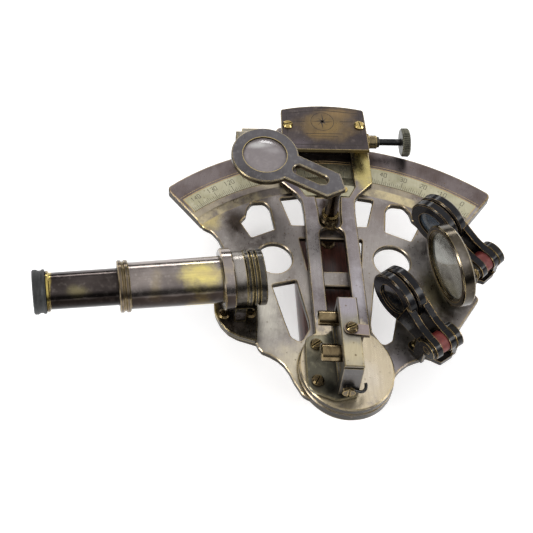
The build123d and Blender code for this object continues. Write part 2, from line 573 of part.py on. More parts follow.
# ---------------------------------------------------------------- index mirror
# upright tray whose glass faces +X
TRAY_X0, TRAY_X1 = -3.9, 2.2
TRAY_Y0, TRAY_Y1 = -10.6, 13.6
TRAY_Z0, TRAY_Z1 = 28.6, 48.0
TRAY_RIM = 1.3
GLASS_X0 = -0.4
ADJUSTER_Y, ADJUSTER_Z = (9.6, -2.6), 41
CLIP_SCREW = (-0.6, 2.1)
WIRE_X, WIRE_Z = -1.3, 33.8        # screw of the wire clip at the -Y end
WIRE_SCREW = Location((WIRE_X, TRAY_Y0, WIRE_Z)) * Rot(0, 0, -90)     # local X points to -Y
MIRROR_FOOT = [(-4.4, -12.6, 4.5), (TRAY_X1, -10.6, 0.6), (TRAY_X1, 13.0, 0.6), (-3.0, 13.0, 1),
               (-5.6, 10.6, 2), (-12.6, 9.9, 3), (-13.0, 2.0, 6), (-13.2, -9.0, 4)]


def index_mirror_foot():
    foot = plate(MIRROR_FOOT, ARM_Z1, TRAY_Z0)
    foot = soften(foot, [e for e in top_edges(foot, TRAY_Z0) if e.center().X < -3.95], 0.25)
    foot = drill(foot, 1.0, 20, 40, FOOT_SCREWS)
    return drill(foot, 1.1, 20, 40, ((-0.9, -7.4), (-0.9, 9.4)))


def glass_block(x1):
    return block(GLASS_X0, x1, TRAY_Y0 + TRAY_RIM, TRAY_Y1 - TRAY_RIM,
                 TRAY_Z0 + TRAY_RIM, TRAY_Z1 - TRAY_RIM)


def index_mirror_frame():
    tray = block(TRAY_X0, TRAY_X1, TRAY_Y0, TRAY_Y1, TRAY_Z0, TRAY_Z1)
    tray = soften(tray, top_edges(tray, TRAY_Z1), 0.35)
    tray = tray - glass_block(TRAY_X1 + 1)
    # shallow recess in the back
    tray = tray - block(TRAY_X0 - 1, TRAY_X0 + 1.2, TRAY_Y0 + 3.0, TRAY_Y1 - 1.4,
                        TRAY_Z0 + 3.0, TRAY_Z1 - 2.6)
    # relief line across the -Y end under the top flange
    tray = tray - block(TRAY_X0 - 1, TRAY_X1 + 1, TRAY_Y0 - 1, TRAY_Y0 + 0.8, 46.0, 47.1)
    for y in ADJUSTER_Y:
        tray = tray - rod(1.2, -3.6, -0.4, y, ADJUSTER_Z)
    tray = tray - cyl(0.8, 45, 50, *CLIP_SCREW)
    return tray - WIRE_SCREW * rod(0.8, -1.0, 1.0)


def index_mirror_adjuster(y):
    place = Location((0, y, ADJUSTER_Z)) * Rot(0, 0, 180)     # local X points to -X
    radius = 2.4 if y > 0 else 2.8
    body = place * turned_x([(2.7, 0), (2.7, radius), (9.4, radius), (9.8, radius - 0.4),
                             (9.8, 0)])
    body = body - place * block(9.3, 12, -0.3, 0.3, -4, 4)
    return body + place * rod(1.2, 0.4, 2.7)


def index_mirror_clip():
    """Plate on top of the tray with a lip turned down over the glass."""
    clip = plate([(-2.9, 0.2, 1.6), (4.7, -0.4, 0.3), (4.7, 3.4, 0.3), (-2.9, 4.0, 1.6)],
                 TRAY_Z1, TRAY_Z1 + 0.8)
    clip = clip + plate([(2.2, -0.2), (4.7, -0.2), (4.7, 3.2), (2.2, 3.2)],
                        TRAY_Z1 - 0.9, TRAY_Z1)
    clip = clip + block(2.2, 3.0, 0.0, 3.0, 43.6, TRAY_Z1)
    return clip - cyl(0.8, 40, 60, *CLIP_SCREW)


def wire_screw():
    head = WIRE_SCREW * rod(2.0, 1.0, 2.0) - WIRE_SCREW * block(1.6, 3, -0.3, 0.3, -3, 3)
    return head + WIRE_SCREW * rod(0.8, -1.0, 1.0)


def mirror_wire_clip():
    """Bent wire that holds the lower -Y corner of the mirror, with an eye for its screw."""
    y = TRAY_Y0 - 0.5
    start, bend = (-0.6, y, WIRE_Z), (2.2, y, WIRE_Z - 1.4)
    slope = (2.8, 0, -1.4)
    path = Wire([Edge.make_line(start, bend),
                 Edge.make_tangent_arc(bend, slope, (4.4, y + 3.2, WIRE_Z - 1.6))])
    wire = sweep(Plane(origin=start, z_dir=slope) * Circle(0.5), path=path)
    place = Pos(WIRE_X, y, WIRE_Z) * Rot(90, 0, 0)
    eye = place * (Cylinder(1.5, 0.9) - Cylinder(0.8, 2))
    return wire + eye - place * Cylinder(0.8, 3)


save("index_mirror_foot", index_mirror_foot())
save("index_mirror_frame", index_mirror_frame())
save("index_mirror_glass", glass_block(1.9))
save("index_mirror_adjust_screws", *map(index_mirror_adjuster, ADJUSTER_Y))
save("index_mirror_clip", index_mirror_clip())
save("index_mirror_screws",
     *[screw(x, y, TRAY_Z0, head_r=1.95, head_h=1.5, shank_r=1.0, shank_len=3.6,
             turn=turn, dome=0.6) for x, y, turn in FOOT_SCREWS],
     screw(*CLIP_SCREW, TRAY_Z1 + 0.8, head_r=1.9, head_h=1.2, shank_r=0.8, shank_len=2.1,
           turn=25, dome=0.5),
     wire_screw())
save("mirror_wire_clip", mirror_wire_clip())

# ---------------------------------------------------------------- cover over the tangent screw
COVER_Z0, COVER_Z1 = 33.0, 34.6
# edges in order: two points for a line, three for an arc
COVER_EDGES = (
    ((-15.3, 83.0), (-14.9, 99.2)),
    ((-14.9, 99.2), (-14.4, 100.0), (-13.7, 100.2)),
    ((-13.7, 100.2), (0, 101.8), (13.7, 100.2)),
    ((13.7, 100.2), (14.4, 100.0), (14.9, 99.2)),
    ((14.9, 99.2), (15.3, 83.0)),
    ((15.3, 83.0), (15.3, 81.8)),
    ((15.3, 81.8), (-15.3, 81.8)),
    ((-15.3, 81.8), (-15.3, 83.0)))


def cover_plate():
    edges = []
    for points in COVER_EDGES:
        make = Edge.make_line if len(points) == 2 else Edge.make_three_point_arc
        edges.append(make(*[(x, y, 0) for x, y in points]))
    cover = slab(Face(Wire(edges)), COVER_Z0, COVER_Z1)
    cover = soften(cover, top_edges(cover, COVER_Z1), 0.5)
    return drill(cover, 1.1, 30, 40, COVER_SCREWS)


save("cover_plate", cover_plate())
save("cover_pillars", *[
    turned([(1.1, ARM_Z1), (1.6, ARM_Z1), (1.6, COVER_Z0), (1.1, COVER_Z0)], x, y)
    for x, y, _ in COVER_SCREWS])
save("arm_head_screws",
     *[screw(x, y, VERNIER_Z1, head_r=1.1, head_h=0.5, shank_r=0.6, shank_len=1.5,
             turn=turn, slot=0.3) for x, y, turn in VERNIER_SCREWS],
     *[screw(x, y, COVER_Z1, head_r=1.8, head_h=1.0, shank_r=1.1, shank_len=9.6,
             turn=turn, dome=0.4) for x, y, turn in COVER_SCREWS])

# ---------------------------------------------------------------- tangent screw
TANGENT_R = 1.25
CLAMP_C = (-24.0, 86.2)            # clamp screw axis


def clamp_block():
    """Block that grips the limb from outside, driven along by the tangent screw."""
    clamp = block(-31.5, -19.5, 86.5, 91.5, 27.6, 32.4)
    clamp = soften(clamp, top_edges(clamp, 32.4), 0.4)
    clamp = clamp + block(-29.0, -19.5, 88.2, 91.5, 24.3, 27.8)
    clamp = clamp + block(-29.0, -19.5, 91.5, 95.2, 17.4, 29.0)
    clamp = clamp + block(-29.0, -19.5, 82.2, 92.0, 17.4, 20.1)
    clamp = clamp - TANGENT * rod(1.78, -40, -10)
    clamp = clamp - cyl(LIMB_R + 0.35, 20.1, 24.3)
    return clamp - cyl(1.55, 10, 20.5, *CLAMP_C)


CLAMP_KNOB = [(0, 7.6), (4.4, 7.6), (4.9, 8.1), (4.9, 11.3), (4.4, 11.8), (3.0, 12.2),
              (2.4, 13.4), (2.4, 14.6), (0, 14.6)]
bearing = block(13.4, 16.2, 86.9, 91.1, ARM_Z1, 32.2) + TANGENT * rod(2.45, 16.2, 18.9)
save("tangent_bearing", bearing - TANGENT * rod(1.30, 10, 25))
save("tangent_screw", TANGENT * rod(TANGENT_R, -31.0, 29.8) + TANGENT * rod(2.0, 18.96, 19.8))
save("tangent_knob", TANGENT * turned_x([
    (27.6, TANGENT_R), (27.6, 4.75), (28.0, 5.2), (30.0, 5.2), (30.4, 4.75), (30.4, 0),
    (29.8, 0), (29.8, TANGENT_R)]))
save("tangent_collar", TANGENT * rod(2.1, 12.0, 13.34) - TANGENT * rod(TANGENT_R, 10, 15))
save("clamp_block", clamp_block())
save("clamp_screw", cyl(1.5, 8.0, 20.4, *CLAMP_C) + turned(CLAMP_KNOB, *CLAMP_C))

# ---------------------------------------------------------------- magnifier
SOCKET = [(2.25, 24.8), (2.8, 24.8), (2.8, 25.9), (3.2, 25.9), (3.2, 27.4), (3.0, 28.0),
          (2.8, 28.4), (2.8, 29.6), (2.25, 29.6)]
POST = [(0, 24.1), (2.6, 24.1), (2.6, 24.7), (2.2, 24.7), (2.2, 29.7), (2.8, 29.7), (3.0, 30.2),
        (2.8, 30.8), (2.2, 31.0), (2.2, 43.8), (2.6, 44.4), (2.6, LENS_Z0), (1.5, LENS_Z0),
        (1.5, 46.9), (0, 46.9)]
LENS = [(0, 44.9), (2.6, 45.0), (5.2, 45.35), (7.6, 45.9), (8.3, 45.9), (8.3, 46.7),
        (7.6, 46.7), (5.2, 47.3), (2.6, 47.65), (0, 47.75)]
MAGNIFIER = Location((*LENS_POST, 0)) * Rot(0, 0, LENS_AZ)   # local X runs out to the lens


def magnifier_arm():
    neck_x = LENS_REACH - 6
    arm = plate([(neck_x, -5.6), (0.6, -5.4, 0.4), (-3.6, -0.4, 0.4), (0.6, 5.4, 0.4),
                 (neck_x, 5.6)], LENS_Z0, LENS_Z1)
    arm = arm + cyl(LENS_RIM_R, LENS_Z0, LENS_Z1, LENS_REACH, 0)
    arm = arm - plate([(2.9, -2.0, 1.98), (15.2, -2.0, 1.98), (15.2, 2.0, 1.98),
                       (2.9, 2.0, 1.98)], 40, 50)
    arm = soften(arm, top_edges(arm, LENS_Z1), 0.3)
    # lens groove, lens opening and post hole
    return (arm - cyl(8.3, 45.9, 46.7, LENS_REACH, 0) - cyl(7.6, 40, 50, LENS_REACH, 0)
            - cyl(1.5, 40, 46.9))


save("magnifier_socket", turned(SOCKET, *LENS_POST))
save("magnifier_post", turned(POST, *LENS_POST))
save("magnifier_arm", MAGNIFIER * magnifier_arm())
save("magnifier_lens", MAGNIFIER * Pos(LENS_REACH, 0, 0) * turned(LENS))
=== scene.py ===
import bpy, bmesh, math, random
from mathutils import Vector, Matrix


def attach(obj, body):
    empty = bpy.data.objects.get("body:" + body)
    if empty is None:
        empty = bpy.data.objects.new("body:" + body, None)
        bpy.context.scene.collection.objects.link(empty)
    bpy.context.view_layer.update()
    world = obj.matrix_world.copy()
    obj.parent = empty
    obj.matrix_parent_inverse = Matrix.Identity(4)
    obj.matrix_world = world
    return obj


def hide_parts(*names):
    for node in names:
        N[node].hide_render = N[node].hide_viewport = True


# Looks of a small antiqued-brass sextant. Metres; helper coordinates are in millimetres.
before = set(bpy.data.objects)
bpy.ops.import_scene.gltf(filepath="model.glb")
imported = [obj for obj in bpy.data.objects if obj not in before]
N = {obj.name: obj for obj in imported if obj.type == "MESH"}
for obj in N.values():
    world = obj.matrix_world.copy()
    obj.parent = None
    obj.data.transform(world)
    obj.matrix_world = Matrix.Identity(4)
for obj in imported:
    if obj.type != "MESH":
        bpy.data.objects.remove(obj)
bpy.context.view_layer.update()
MM = 0.001
R = math.radians
random.seed(7)


# ------------------------------------------------------------------ node helpers
class Mat:
    """Small builder for a procedural material. Coordinates are millimetres in the row's frame."""

    def __init__(self, name):
        self.m = bpy.data.materials.new(name)
        self.m.use_nodes = True
        self.t = self.m.node_tree
        self.t.nodes.clear()
        self.out = self.t.nodes.new("ShaderNodeOutputMaterial")
        tc = self.t.nodes.new("ShaderNodeTexCoord")
        s = self.node("ShaderNodeVectorMath", operation="SCALE")
        self.t.links.new(tc.outputs["Object"], s.inputs[0])
        s.inputs["Scale"].default_value = 1000.0
        self.co = s.outputs[0]
        self.geo = self.t.nodes.new("ShaderNodeNewGeometry")

    def node(self, kind, **props):
        n = self.t.nodes.new(kind)
        for k, v in props.items():
            setattr(n, k, v)
        return n

    def put(self, sock, v):
        if isinstance(v, bpy.types.NodeSocket):
            self.t.links.new(v, sock)
        elif isinstance(v, (tuple, list)) and len(v) == 3 and sock.type == "RGBA":
            sock.default_value = (*v, 1)
        else:
            sock.default_value = v

    def math(self, op, a, b=None, c=None, clamp=False):
        n = self.node("ShaderNodeMath", operation=op, use_clamp=clamp)
        self.put(n.inputs[0], a)
        if b is not None:
            self.put(n.inputs[1], b)
        if c is not None:
            self.put(n.inputs[2], c)
        return n.outputs[0]

    def ramp(self, v, a, b, lo=0.0, hi=1.0, smooth=True):
        n = self.node("ShaderNodeMapRange", interpolation_type="SMOOTHSTEP" if smooth else "LINEAR")
        for i, x in enumerate((v, a, b, lo, hi)):
            self.put(n.inputs[i], x)
        return n.outputs[0]

    def noise(self, scale, detail=3.0, rough=0.55, vec=None, dist=0.0, seed=0.0):
        n = self.node("ShaderNodeTexNoise", noise_dimensions="4D")
        self.put(n.inputs["Vector"], vec or self.co)
        n.inputs["W"].default_value = seed
        n.inputs["Scale"].default_value = scale
        n.inputs["Detail"].default_value = detail
        n.inputs["Roughness"].default_value = rough
        n.inputs["Distortion"].default_value = dist
        return n.outputs["Fac"]

    def mapped(self, scale=(1, 1, 1), rot=(0, 0, 0), loc=(0, 0, 0)):
        n = self.node("ShaderNodeMapping", vector_type="TEXTURE")
        self.put(n.inputs["Vector"], self.co)
        n.inputs["Location"].default_value = loc
        n.inputs["Rotation"].default_value = rot
        n.inputs["Scale"].default_value = scale
        return n.outputs[0]

    def mix(self, f, a, b, mode="MIX"):
        n = self.node("ShaderNodeMix", data_type="RGBA", blend_type=mode)
        n.clamp_factor = True
        self.put(n.inputs[0], f)
        self.put(n.inputs[6], a)
        self.put(n.inputs[7], b)
        return n.outputs[2]

    def blob(self, centre, size, soft=0.6, rot=0.0):
        """1 inside an ellipsoid, fading to 0 outside it, with a noisy border."""
        v = self.mapped(scale=size, rot=(0, 0, rot), loc=centre)
        l = self.node("ShaderNodeVectorMath", operation="LENGTH")
        self.put(l.inputs[0], v)
        wob = self.math("ADD", l.outputs["Value"], self.math("MULTIPLY", self.math("SUBTRACT", self.noise(0.22, 4, 0.6, seed=centre[0]), 0.5), 1.1))
        return self.ramp(wob, 1.0, 1.0 - soft)

    def edge(self, radius, lo=0.010, hi=0.13):
        b = self.node("ShaderNodeBevel", samples=6)
        b.inputs["Radius"].default_value = radius * MM
        d = self.node("ShaderNodeVectorMath", operation="DOT_PRODUCT")
        self.put(d.inputs[0], b.outputs[0])
        self.put(d.inputs[1], self.geo.outputs["Normal"])
        return self.ramp(self.math("SUBTRACT", 1.0, d.outputs["Value"]), lo, hi)

    # ambient-occlusion mask: grime and painted shade in corners, recesses and between parts
    def grime_and_shade(self, dist, lo=0.35, hi=0.85, local=False):
        a = self.node("ShaderNodeAmbientOcclusion", samples=6, only_local=local)
        a.inputs["Distance"].default_value = dist * MM
        return self.ramp(a.outputs["AO"], hi, lo)

    def bump(self, height, strength=0.2, dist=0.02):
        b = self.node("ShaderNodeBump")
        b.inputs["Strength"].default_value = strength
        b.inputs["Distance"].default_value = dist * MM
        self.put(b.inputs["Height"], height)
        return b.outputs[0]

    def surface(self, **kw):
        p = self.node("ShaderNodeBsdfPrincipled")
        for k, v in kw.items():
            self.put(p.inputs[k.replace("_", " ")], v)
        self.t.links.new(p.outputs[0], self.out.inputs[0])
        return p


def metal(name, dark, mid, light, edge=(0.62, 0.44, 0.18), edge_w=0.45, edge_amt=0.9, grime_and_shade=1.4, grime_and_shade_col=(0.02, 0.016, 0.013),
          rough=(0.24, 0.46), blobs=(), tone_scale=0.045, streak=None, grime_and_shade_amt=0.9, metallic=1.0, fine=1.6, spots=0.0,
          coat=0.0, side=None, band=False, flank_shade=None):
    """Aged metal: cloudy patina, mottling, rubbed bright edges, grime and painted shade in the corners, fine scratches;
    optional placed patches, several of them painted reflections and shade, and painted shade on upright faces and on a
    tube's lower flank.
    """
    m = Mat(name)
    big = m.noise(tone_scale, 4, 0.55, seed=1.3, dist=0.4)
    small = m.noise(fine * 0.3, 6, 0.65, seed=4.1)
    col = m.mix(m.ramp(big, 0.34, 0.60), dark, mid)
    col = m.mix(m.math("MULTIPLY", m.ramp(small, 0.50, 0.72), 0.65), col, light)
    for b in blobs:
        f = m.math("MULTIPLY", m.blob(b[0], b[1], soft=b[4] if len(b) > 4 else 0.7), b[3])
        col = m.mix(f, col, b[2])
    if band:
        # the raised limb: grey-brown band outside the scale, pale gold flank inside it
        sp_ = m.node("ShaderNodeVectorMath", operation="MULTIPLY")
        m.put(sp_.inputs[0], m.co)
        sp_.inputs[1].default_value = (1, 1, 0)
        ln = m.node("ShaderNodeVectorMath", operation="LENGTH")
        m.put(ln.inputs[0], sp_.outputs[0])
        rr = ln.outputs["Value"]
        outer = m.ramp(rr, 83.0, 83.4)
        tone = m.mix(m.ramp(m.noise(0.09, 4, 0.6, seed=12.0), 0.35, 0.62), (0.135, 0.105, 0.098), (0.225, 0.19, 0.185))
        col = m.mix(outer, col, tone)
        flank = m.math("MULTIPLY", m.ramp(rr, 71.3, 71.8), m.ramp(rr, 74.6, 74.0))
        ft = m.mix(m.ramp(m.noise(0.10, 4, 0.6, seed=14.0), 0.36, 0.60), (0.22, 0.19, 0.17), (0.66, 0.56, 0.34))
        col = m.mix(flank, col, ft)
        inner = m.math("MULTIPLY", m.ramp(rr, 74.0, 74.4), m.ramp(rr, 77.0, 76.6))
        it = m.mix(m.ramp(m.noise(0.07, 4, 0.6, seed=15.0), 0.36, 0.60), (0.20, 0.17, 0.16), (0.44, 0.38, 0.28))
        col = m.mix(inner, col, it)
    # brushed streaks
    if streak:
        sv = m.mapped(scale=streak[0], rot=streak[1])
        st = m.noise(1.0, 4, 0.7, vec=sv, seed=2.2)
    else:
        st = m.noise(1.0, 4, 0.7, vec=m.mapped(scale=(7.0, 0.35, 0.35), rot=(0, 0, R(78))), seed=2.2)
    col = m.mix(m.math("MULTIPLY", m.ramp(st, 0.35, 0.75), 0.28), col, m.mix(1.0, col, (0.55, 0.5, 0.46), "MULTIPLY"))
    if side is not None:
        # painted shade: faces that stand upright take the side colour, mostly a darker one that paints the dark
        # surroundings they mirror
        sep = m.node("ShaderNodeSeparateXYZ")
        m.put(sep.inputs[0], m.geo.outputs["Normal"])
        up = m.ramp(m.math("ABSOLUTE", sep.outputs["Z"]), 0.25, 0.75)
        col = m.mix(up, side, col)
        edge_amt = m.math("MULTIPLY", m.ramp(m.math("ABSOLUTE", sep.outputs["Z"]), 0.05, 0.55, 0.22, 1.0), edge_amt)
    if flank_shade is not None:
        # painted shade: the lower flank of a lying tube is darkened for the dark surroundings it mirrors, down to a
        # paler strip along the bottom where it mirrors the floor
        sn_ = m.node("ShaderNodeSeparateXYZ")
        m.put(sn_.inputs[0], m.geo.outputs["Normal"])
        wv = m.math("ADD", sn_.outputs["Z"], m.math("MULTIPLY", m.math("SUBTRACT", m.noise(0.25, 4, 0.6, seed=21.0), 0.5), 0.22))
        uf = m.math("MULTIPLY", m.ramp(wv, 0.60, 0.40), m.ramp(sn_.outputs["Z"], -0.42, -0.22))
        col = m.mix(uf, col, m.mix(1.0, col, flank_shade, "MULTIPLY"))
    if spots > 0:
        sp = m.node("ShaderNodeTexVoronoi", feature="F1")
        m.put(sp.inputs["Vector"], m.co)
        sp.inputs["Scale"].default_value = 0.55
        dots = m.ramp(sp.outputs["Distance"], 0.24, 0.10)
        dots = m.math("MULTIPLY", dots, m.ramp(m.noise(0.16, 2, 0.5, seed=9.0), 0.5, 0.62))
        col = m.mix(m.math("MULTIPLY", dots, spots), col, (0.16, 0.11, 0.06))
    # grime and painted shade: darkened where nearby geometry hems the surface in
    g = m.grime_and_shade(grime_and_shade)
    e = m.edge(edge_w)
    worn = m.math("MULTIPLY", e, m.ramp(m.noise(0.35, 4, 0.6, seed=6.0), 0.30, 0.55, 0.45, 1.0))
    worn = m.math("MULTIPLY", worn, m.math("SUBTRACT", 1.0, m.math("MULTIPLY", g, 0.85)))
    col = m.mix(m.math("MULTIPLY", g, grime_and_shade_amt), col, grime_and_shade_col)
    col = m.mix(m.math("MULTIPLY", worn, edge_amt), col, edge)
    scratch = m.noise(1.0, 3, 0.8, vec=m.mapped(scale=(9.0, 0.18, 0.18), rot=(0, 0, R(33))), seed=8.0)
    rg = m.ramp(m.math("ADD", m.math("MULTIPLY", small, 0.6), m.math("MULTIPLY", st, 0.4)), 0.3, 0.72, rough[0], rough[1])
    rg = m.math("ADD", rg, m.math("MULTIPLY", g, 0.25), clamp=True)
    h = m.math("ADD", m.math("MULTIPLY", small, 0.6), m.math("MULTIPLY", scratch, 0.4))
    m.surface(Base_Color=col, Metallic=metallic, Roughness=rg, Normal=m.bump(h, 0.25, 0.03), Coat_Weight=coat)
    return m.m


def lacquer(name, base, edge=(0.55, 0.36, 0.14), rough=(0.12, 0.30), edge_w=0.4, wear=0.75, spec=0.12, coat=0.10):
    """Black gloss paint over brass, rubbed through at the rims."""
    m = Mat(name)
    small = m.noise(0.9, 5, 0.65, seed=3.0)
    patches = m.noise(0.12, 3, 0.5, seed=5.0)
    col = m.mix(m.ramp(patches, 0.35, 0.7), base, tuple(min(1, c * 2.4 + 0.006) for c in base))
    e = m.edge(edge_w)
    worn = m.math("MULTIPLY", e, m.ramp(m.noise(0.22, 4, 0.6, seed=7.0), 0.36, 0.54))
    rub = m.math("MULTIPLY", m.ramp(m.noise(0.35, 5, 0.7, seed=11.0), 0.62, 0.72), 0.35)
    worn = m.math("MULTIPLY", m.math("MAXIMUM", worn, m.math("MULTIPLY", rub, e)), wear, clamp=True)
    col = m.mix(worn, col, edge)
    rg = m.ramp(small, 0.3, 0.75, rough[0], rough[1])
    rg = m.math("ADD", rg, m.math("MULTIPLY", worn, 0.15), clamp=True)
    m.surface(Base_Color=col, Metallic=worn, Roughness=rg, Specular_IOR_Level=spec, Coat_Weight=coat, Coat_Roughness=0.08,
              Normal=m.bump(small, 0.18, 0.02))
    return m.m


# ------------------------------------------------------------------ materials
GOLD, GOLD_HI, CREAM = (0.55, 0.38, 0.13), (0.80, 0.60, 0.24), (0.74, 0.66, 0.52)
DARK = (0.030, 0.024, 0.020)

# The placed tone patches are painted reflections of the bright studio, light and dark, on top of the plate's own
# tarnish; the dark patch at (-33, 57) is a painted shadow of the telescope.
mat_frame = metal("frame_bronze", (0.175, 0.148, 0.132), (0.385, 0.350, 0.325), (0.55, 0.51, 0.475), spots=0.7, side=(0.022, 0.017, 0.012),
                  edge=(0.70, 0.50, 0.17), edge_w=0.85, edge_amt=1.0, tone_scale=0.065, rough=(0.24, 0.42), blobs=[
    ((0.0, 60.0, 22), (60, 16, 40), (0.34, 0.30, 0.285), 0.6, 0.8),
    ((-27.0, 22.0, 22), (13, 20, 40), (0.70, 0.66, 0.57), 0.95, 0.9),
    ((-14.0, 2.0, 22), (14, 13, 40), (0.74, 0.66, 0.49), 0.95, 0.9),
    ((-22.0, 36.0, 22), (9, 8, 40), (0.60, 0.56, 0.50), 0.7, 0.9),
    ((-43.0, 59.0, 22), (8, 7, 40), (0.66, 0.54, 0.24), 0.85, 0.9),
    ((34.0, 33.0, 22), (8, 13, 40), (0.26, 0.225, 0.13), 0.85, 0.8),
    ((26.0, 50.0, 22), (10, 6, 40), (0.40, 0.37, 0.34), 0.7, 0.8),
    ((18.0, 3.0, 22), (10, 7, 40), (0.42, 0.385, 0.41), 0.7, 0.9),
    ((-33.0, 57.0, 22), (5, 8, 40), (0.085, 0.065, 0.05), 0.9, 0.8),
    ((-26.0, 68.0, 22), (9, 4, 40), (0.10, 0.08, 0.06), 0.8, 0.9),
    ((-21.0, 60.0, 22), (3.5, 9, 40), (0.11, 0.085, 0.07), 0.8, 0.9),
    ((-31.0, 18.0, 24), (2, 2, 40), (0.30, 0.25, 0.16), 0.4, 1.0),
    ((22.0, 20.0, 22), (5, 12, 40), (0.20, 0.16, 0.12), 0.6, 0.9),
    ((-8.0, 30.0, 22), (4, 14, 40), (0.52, 0.47, 0.40), 0.6, 0.9),
    ((46.0, 42.0, 22), (6, 6, 40), (0.40, 0.32, 0.17), 0.6, 0.9),
    ((-50.0, 50.0, 22), (6, 6, 40), (0.62, 0.48, 0.20), 0.7, 0.9),
    ((20.0, 62.0, 22), (8, 4, 40), (0.26, 0.215, 0.19), 0.6, 0.9),
], band=True)
mat_arm = metal("arm_bronze", (0.19, 0.165, 0.165), (0.31, 0.275, 0.275), (0.42, 0.385, 0.40), side=(0.026, 0.019, 0.012), spots=0.35,
                edge=(0.72, 0.54, 0.20), edge_w=0.75, edge_amt=1.0, rough=(0.22, 0.40), streak=((0.6, 8.0, 0.6), (0, 0, 0)), blobs=[
    ((-6.6, 42.0, 26), (3.5, 22, 30), (0.46, 0.43, 0.42), 0.75, 0.9),
    ((6.4, 28.0, 26), (3.5, 14, 30), (0.52, 0.49, 0.52), 0.85, 0.9),
    # painted reflection: gold on the right side of the head's window frame
    ((13.3, 79.0, 26), (4.6, 11, 30), (0.64, 0.54, 0.22), 0.97, 0.5),
    ((11.0, 66.0, 26), (5, 5, 30), (0.30, 0.25, 0.22), 0.6, 0.8),
    ((-12.5, 70.0, 26), (8, 8, 30), (0.14, 0.12, 0.14), 0.9, 0.8),
    ((0.0, -0.5, 26), (19.5, 17.8, 30), (0.72, 0.615, 0.44), 0.97, 0.25),
    ((7.0, -3.0, 26), (5, 9, 30), (0.78, 0.70, 0.58), 0.7, 0.9),
    ((-10.0, 9.0, 26), (4, 6, 30), (0.60, 0.52, 0.34), 0.7, 0.9),
    # painted shade: near black in the pocket round the magnifier post
    ((0.0, 60.0, 25.6), (4.4, 8, 0.8), (0.030, 0.020, 0.014), 0.97, 0.4),
])
mat_scale = metal("silvered_scale", (0.45, 0.42, 0.28), (0.56, 0.53, 0.38), (0.64, 0.61, 0.47), edge=(0.4, 0.3, 0.12), edge_amt=0.3, grime_and_shade=0.5,
                  rough=(0.34, 0.5), tone_scale=0.12, spots=0.5)
mat_cover = metal("cover_bronze", (0.060, 0.050, 0.052), (0.105, 0.088, 0.086), (0.175, 0.145, 0.13), edge=(0.62, 0.48, 0.22), edge_w=0.55,
                  side=(0.12, 0.095, 0.06), blobs=[
    ((1.0, 92.5, 34), (14.0, 9.5, 30), (0.275, 0.190, 0.085), 0.9, 0.95),
    ((5.0, 98.6, 34), (9, 3.5, 30), (0.30, 0.205, 0.10), 0.75, 0.9),
    ((-2.0, 88.5, 34), (6, 3.0, 30), (0.30, 0.20, 0.085), 0.6, 0.95),
    ((-9.0, 84.5, 34), (6, 3, 30), (0.15, 0.125, 0.14), 0.7, 0.9),
])
mat_mag = metal("magnifier_bronze", (0.095, 0.088, 0.090), (0.150, 0.142, 0.148), (0.25, 0.24, 0.24), edge=(0.78, 0.60, 0.24), edge_w=0.6, edge_amt=1.0,
                side=(0.050, 0.036, 0.018), rough=(0.26, 0.42))
mat_tube = metal("tube_bronze", (0.17, 0.145, 0.135), (0.31, 0.270, 0.25), (0.44, 0.39, 0.36), rough=(0.13, 0.24), flank_shade=(0.16, 0.14, 0.13), edge=(0.70, 0.52, 0.2),
                 streak=((9.0, 0.5, 0.5), (0, 0, R(6.6))), blobs=[
    ((-46.5, 21.5, 45), (9.5, 6.8, 7.5), (0.88, 0.74, 0.26), 1.0, 0.85),
    # painted reflection: gold on the lower front flank, where the tube mirrors the pale floor
    ((-46.5, 17.0, 33), (7.0, 7, 9), (0.78, 0.62, 0.18), 0.95, 0.8),
    ((-61.5, 18.0, 43), (3.0, 9, 6), (0.50, 0.40, 0.22), 0.4, 0.9),
    ((-42.0, 22.0, 46), (14, 2.0, 5), (0.50, 0.40, 0.24), 0.5, 0.9),
])
mat_draw = metal("draw_tube_black", (0.030, 0.024, 0.022), (0.075, 0.062, 0.058), (0.18, 0.155, 0.14), edge=(0.60, 0.44, 0.15), rough=(0.11, 0.22), flank_shade=(0.18, 0.16, 0.15),
                 streak=((9.0, 0.5, 0.5), (0, 0, R(6.6))), blobs=[
    ((-87.0, 15.0, 43), (5, 3, 3), (0.36, 0.31, 0.15), 0.45, 0.95),
    ((-97.4, 17.5, 38), (1.6, 12, 12), (0.56, 0.44, 0.13), 0.9, 0.5),
])
mat_gold = metal("brass_rings", (0.10, 0.078, 0.045), (0.21, 0.165, 0.095), (0.40, 0.31, 0.16), edge=(0.66, 0.50, 0.20), rough=(0.18, 0.34), grime_and_shade=0.9,
                 tone_scale=0.16)
mat_objective = metal("objective_bronze", (0.035, 0.032, 0.028), (0.078, 0.073, 0.066), (0.17, 0.155, 0.125), edge=(0.64, 0.48, 0.19), edge_w=0.4, rough=(0.18, 0.34), grime_and_shade=0.9,
                 tone_scale=0.16)
mat_bright = metal("brass_bright", (0.40, 0.29, 0.10), (0.62, 0.46, 0.17), (0.80, 0.62, 0.28), edge=(0.85, 0.68, 0.30), rough=(0.14, 0.28), grime_and_shade=0.9, tone_scale=0.4)
mat_adjust = metal("brass_cylinders", (0.10, 0.072, 0.038), (0.22, 0.165, 0.09), (0.40, 0.32, 0.19), edge=(0.60, 0.45, 0.20), edge_w=0.3, edge_amt=0.6, rough=(0.14, 0.26), grime_and_shade=1.2, tone_scale=0.3)
mat_aged = metal("brass_aged", (0.055, 0.042, 0.028), (0.12, 0.09, 0.05), (0.26, 0.20, 0.11), edge=(0.55, 0.40, 0.16), rough=(0.2, 0.4), grime_and_shade=1.2, tone_scale=0.14)
